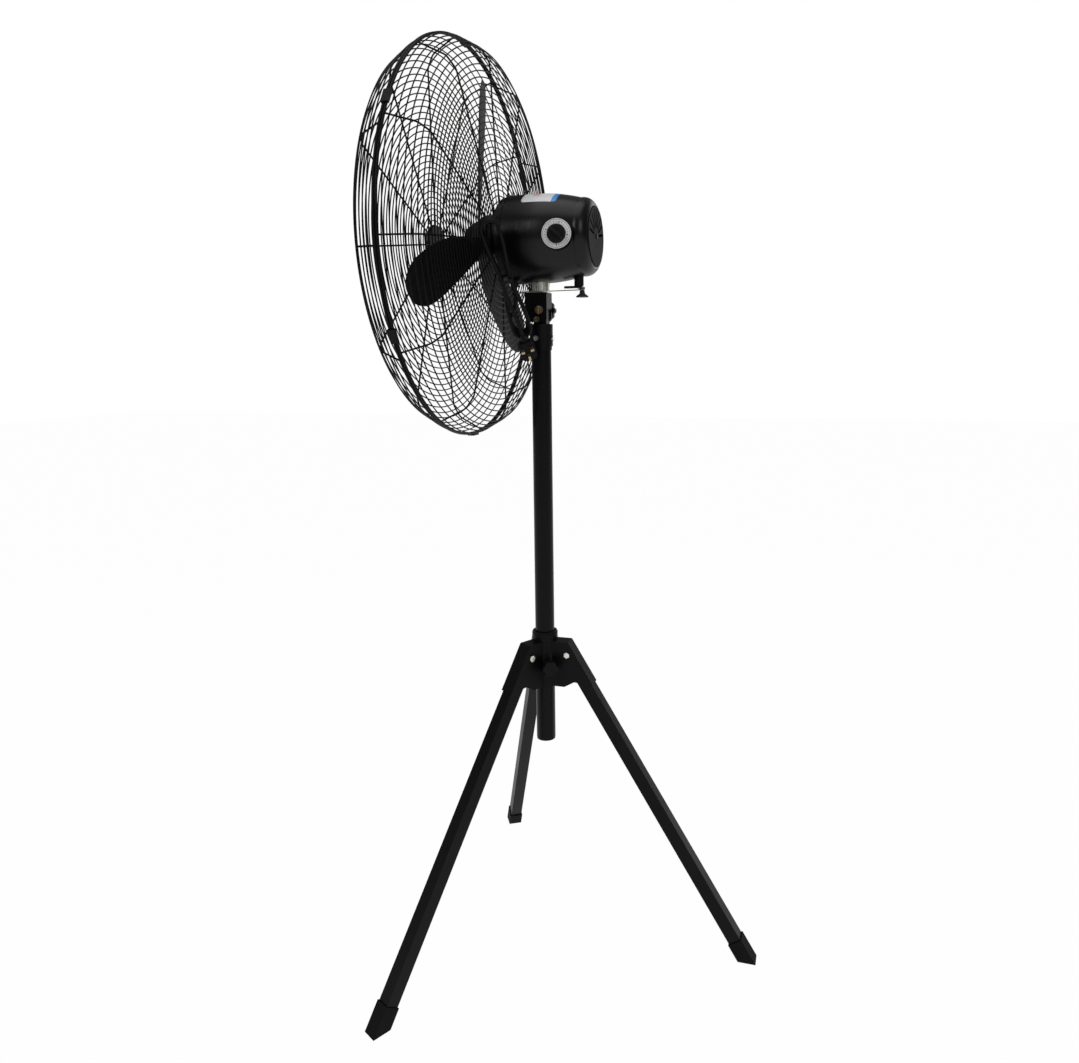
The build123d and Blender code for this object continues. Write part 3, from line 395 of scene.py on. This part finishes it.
def makeLabel(s):
    rows, cols, long = s["rows"], s["cols"], s["to"] - s["from"]
    bm = bmesh.new()
    grid = []
    for i in range(rows + 1):
        y = s["from"] + long * i / rows
        edge = min(i, rows - i) / rows * long
        inset = s["corner"] - min(edge, s["corner"])
        trim = degrees((s["corner"] - sqrt(max(0, s["corner"] ** 2 - inset ** 2))) / motorShell["r"])
        line = []
        for j in range(cols + 1):
            a = radians(90 - (s["low"] + trim + (s["high"] - s["low"] - 2 * trim) * j / cols))
            r = shellRadius(y) + s["lift"]
            line.append(bm.verts.new((r * cos(a), y + axisY, headZ + r * sin(a))))
        grid.append(line)
    for i in range(rows):
        for j in range(cols):
            bm.faces.new((grid[i][j], grid[i + 1][j], grid[i + 1][j + 1], grid[i][j + 1])).smooth = True
    mesh = bpy.data.meshes.new("motorLabel")
    bm.to_mesh(mesh)
    thicken(addPiece("motorLabel", mesh, labelFinish(s), "head"), s["thick"])


makeLabel(label)

dial = {
    "at": 0.0888, "y": 0.047, "drop": 0.003, "turn": 8.0, "ring": 0.0222, "ticks": 24, "sweep": 330.0,
    "big": (0.0034, 0.0007), "small": (0.0018, 0.0004), "bigEvery": 6, "border": (0.0252, 0.0247), "borderSteps": 96,
    "thick": 0.0001,
}
dialPlace = (Matrix.Translation((0, dial["y"] + axisY, headZ - dial["drop"]))
             @ Matrix.Rotation(radians(dial["turn"]), 4, "Z") @ Matrix.Rotation(radians(90), 4, "Y"))


def makeDialMarks(s):
    bm = bmesh.new()
    for i in range(s["ticks"]):
        a = radians(s["sweep"] * i / s["ticks"])
        long, wide = s["small"] if i % s["bigEvery"] else s["big"]
        inner, outer = s["ring"] - long, s["ring"]
        along, side = Vector((cos(a), sin(a), 0)), Vector((-sin(a), cos(a), 0)) * wide
        corners = [along * inner - side, along * outer - side, along * outer + side, along * inner + side]
        bm.faces.new([bm.verts.new((c.x, c.y, s["at"])) for c in corners])
    joinRows(bm, [[bm.verts.new((r * cos(a), r * sin(a), s["at"])) for a in circle(s["borderSteps"])]
                  for r in s["border"]])
    bm.transform(dialPlace)
    mesh = bpy.data.meshes.new("dialMarks")
    bm.to_mesh(mesh)
    thicken(addPiece("dialMarks", mesh, finishes["grey_plastic"], "head"), s["thick"])


makeDialMarks(dial)

# The base's outline gives the step in from its radius and the height over its foot or under its top
dialKnob = {
    "low": 0.0888, "high": 0.0978, "r": 0.017,
    "foot": [(0.0004, 0.0), (0.0004, 0.0015), (0.0, 0.002)],
    "head": [(-0.0006, -0.002), (-0.0022, 0.0), (-0.006, -0.0006), (-0.015, -0.0012)],
    "ripples": 24, "rippleDepth": 0.0005, "rippled": (0.0018, 0.0015), "steps": 192,
    "grip": 0.0065, "gripTurn": -38.0, "gripWide": 0.0042, "gripInset": 0.0028, "gripSteps": 24,
}


def makeDialKnob(s):
    outline = [(s["r"] + out, s["low"] + up) for out, up in s["foot"]]
    outline += [(s["r"] + out, s["high"] + up) for out, up in s["head"]]
    above, below = s["rippled"]
    rows = []
    for r, z in outline:
        depth = s["rippleDepth"] if s["low"] + above < z < s["high"] - below else 0
        reaches = [(r - depth * (0.5 + 0.5 * cos(s["ripples"] * a)), a) for a in circle(s["steps"])]
        rows.append([(reach * cos(a), reach * sin(a), z) for reach, a in reaches])
    knob = stackPiece("dialKnobBase", rows, dialPlace, "speed_knob", "black_plastic")

    turn = Matrix.Rotation(radians(s["gripTurn"]), 4, "Z")
    top = s["high"] + s["grip"]
    rows = []
    for level, shrink in ((s["high"] - 0.003, 1.08), (s["high"] + 0.002, 1.0), (top - 0.0012, 0.92), (top, 0.8)):
        row = []
        for a in circle(s["gripSteps"]):
            x = s["gripWide"] * abs(cos(a)) ** 0.6 * (1 if cos(a) >= 0 else -1) * shrink
            y = (s["r"] - s["gripInset"]) * abs(sin(a)) ** 0.8 * (1 if sin(a) >= 0 else -1) * (0.5 + 0.5 * shrink)
            row.append(turn @ Vector((x, y, level)))
        rows.append(row)
    grip = stackPiece("dialKnobGrip", rows, dialPlace, "speed_knob", "black_plastic")
    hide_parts("dial_knob")
    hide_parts("dial_knob")


makeDialKnob(dialKnob)

print("stage: guard rings")
fanPlace = Matrix.Translation((0, rimY, headZ)) @ Matrix.Rotation(radians(90), 4, "X")
guards = {
    "wire": 0.0012, "rib": 0.0016, "pitch": 0.0111, "start": 0.014, "stop": 0.007, "bend": 0.020,
    "line": [(0.326, 0.060), (0.350, 0.048), (0.376, 0.0026)],
    "wobble": 0.0002,  # spot welds never pull a wire quite true
    "sides": 7, "stepsPerMetre": 560, "leastSteps": 72,
    "front": {"hub": (0.032, 0.070), "turn": 1, "nodes": "front_guard_rings"},
    "rear": {"hub": (0.060, 0.066), "turn": -1, "nodes": "rear_guard_rings"},
}


# The ribs' bent line as short steps, with each corner rounded as on the ribs
def ribSteps(g, part):
    stops = [Vector(p) for p in [part["hub"]] + g["line"]]
    steps = [stops[0]]
    for before, corner, after in zip(stops, stops[1:], stops[2:]):
        arrive, leave = (corner - before).normalized(), (after - corner).normalized()
        swing = arrive.angle(leave)
        inward = Vector((arrive.y, -arrive.x))
        first = corner - arrive * g["bend"] * tan(swing / 2)
        for i in range(9):
            a = swing * i / 8
            steps.append(first + arrive * g["bend"] * sin(a) + inward * g["bend"] * (1 - cos(a)))
    return steps + [stops[-1]]


# Radius and depth of each ring, on the outer side of the ribs
def ringSpots(g, part):
    steps = ribSteps(g, part)
    whole = sum((b - a).length for a, b in zip(steps, steps[1:]))
    lift = g["rib"] + g["wire"] + 0.00002
    spots = []
    reach, passed = g["start"], 0.0
    for a, b in zip(steps, steps[1:]):
        span = (b - a).length
        way = (b - a).normalized()
        while reach <= passed + span and reach < whole - g["stop"]:
            spot = a + way * (reach - passed)
            spots.append((spot.x - way.y * lift, spot.y + way.x * lift))
            reach += g["pitch"]
        passed += span
    return spots


def makeRings(g, which):
    part = g[which]
    bm = bmesh.new()
    for r, depth in ringSpots(g, part):
        wobble = random.uniform(-g["wobble"], g["wobble"])
        phase = random.uniform(0, 6.28)
        loops = []
        for a in circle(max(g["leastSteps"], int(r * g["stepsPerMetre"]))):
            loop = []
            for b in circle(g["sides"]):
                reach = r + wobble * sin(3 * a + phase) + g["wire"] * cos(b)
                spot = (reach * cos(a), reach * sin(a), part["turn"] * (depth + g["wire"] * sin(b)))
                loop.append(bm.verts.new(spot))
            loops.append(loop)
        joinRows(bm, loops + loops[:1])
    bmesh.ops.recalc_face_normals(bm, faces=bm.faces)
    bm.transform(fanPlace)
    mesh = bpy.data.meshes.new(which + "GuardRings")
    bm.to_mesh(mesh)
    piece = addPiece(which + "GuardRings", mesh, finishes["guard_wire"], "head")
    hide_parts(part["nodes"])


for which in ("front", "rear"):
    makeRings(guards, which)

print("stage: floor and light")
studio = {
    "half": 14.0, "level": -0.0005, "shade": (0.8, 0.8, 0.8), "patch": (0.84, 0.84, 0.84),
    "floorGlow": 0.985,   # how much of the floor is plain white to the camera; the rest holds the shadow
    "worldGlow": 0.12, "mirrorGlow": 0.05,
}


def makeFloor(s):
    mesh = bpy.data.meshes.new("floor")
    corners = [(s["half"] * x, s["half"] * y, s["level"]) for x, y in ((-1, -1), (1, -1), (1, 1), (-1, 1))]
    mesh.from_pydata(corners, [], [(0, 1, 2, 3)])
    floor = bpy.data.objects.new("floor", mesh)
    bpy.context.collection.objects.link(floor)
    f = Finish("floorPaper", Roughness=0.9)
    f.set("Base Color", f.blend(f.noise(3.0) * 0.3, s["shade"], s["patch"]))
    seen, glossy, through = (f.add("ShaderNodeLightPath", out=kind)
                             for kind in ("Is Camera Ray", "Is Glossy Ray", "Is Transmission Ray"))
    glow = f.add("ShaderNodeEmission", None, {"Color": (1, 1, 1), "Strength": 1.0})
    surface = f.add("ShaderNodeMixShader", None, {
        0: f.clamp(seen + glossy + through) * s["floorGlow"], 1: Signal(f.tree, f.shader.outputs[0]), 2: glow})
    plug(f.tree, f.tree.nodes["Material Output"].inputs[0], surface)
    mesh.materials.append(f.mat)


def makeWorld(s):
    world = bpy.data.worlds.new("studioWorld")
    bpy.context.scene.world = world
    world.use_nodes = True
    tree = world.node_tree
    tree.nodes.clear()
    path = tree.nodes.new("ShaderNodeLightPath")
    seen, glossy, through = (Signal(tree, path.outputs[kind])
                             for kind in ("Is Camera Ray", "Is Glossy Ray", "Is Transmission Ray"))
    direct = seen.maths("MINIMUM", seen + through, 1.0)
    back = tree.nodes.new("ShaderNodeBackground")
    plug(tree, back.inputs[0], (1, 1, 1))
    plug(tree, back.inputs[1], s["worldGlow"] + direct * (1.0 - s["worldGlow"]) + glossy * s["mirrorGlow"])
    end = tree.nodes.new("ShaderNodeOutputWorld")
    tree.links.new(back.outputs[0], end.inputs[0])


makeFloor(studio)
makeWorld(studio)

lamps = {
    "keyLamp": {"spot": (2.6, 2.2, 2.9), "aim": (0, -0.1, 1.1), "size": (1.6, 1.6), "power": 26},
    "fillLamp": {"spot": (2.2, -1.3, 2.6), "aim": (0, -0.15, 1.3), "size": (0.9, 1.2), "power": 20},
    "topLamp": {"spot": (0.3, -0.2, 3.6), "aim": (0, -0.2, 1.0), "size": (2.2, 2.2), "power": 24},
    "backLamp": {"spot": (-2.6, 0.9, 2.0), "aim": (0, -0.1, 1.0), "size": (1.4, 1.8), "power": 12},
}
for name, lamp in lamps.items():
    data = bpy.data.lights.new(name, "AREA")
    data.shape = "RECTANGLE"
    data.size, data.size_y = lamp["size"]
    data.energy = lamp["power"]
    light = bpy.data.objects.new(name, data)
    light.location = lamp["spot"]
    light.rotation_euler = (Vector(lamp["aim"]) - Vector(lamp["spot"])).to_track_quat("-Z", "Y").to_euler()
    bpy.context.collection.objects.link(light)

bpy.context.scene.view_settings.view_transform = "Standard"
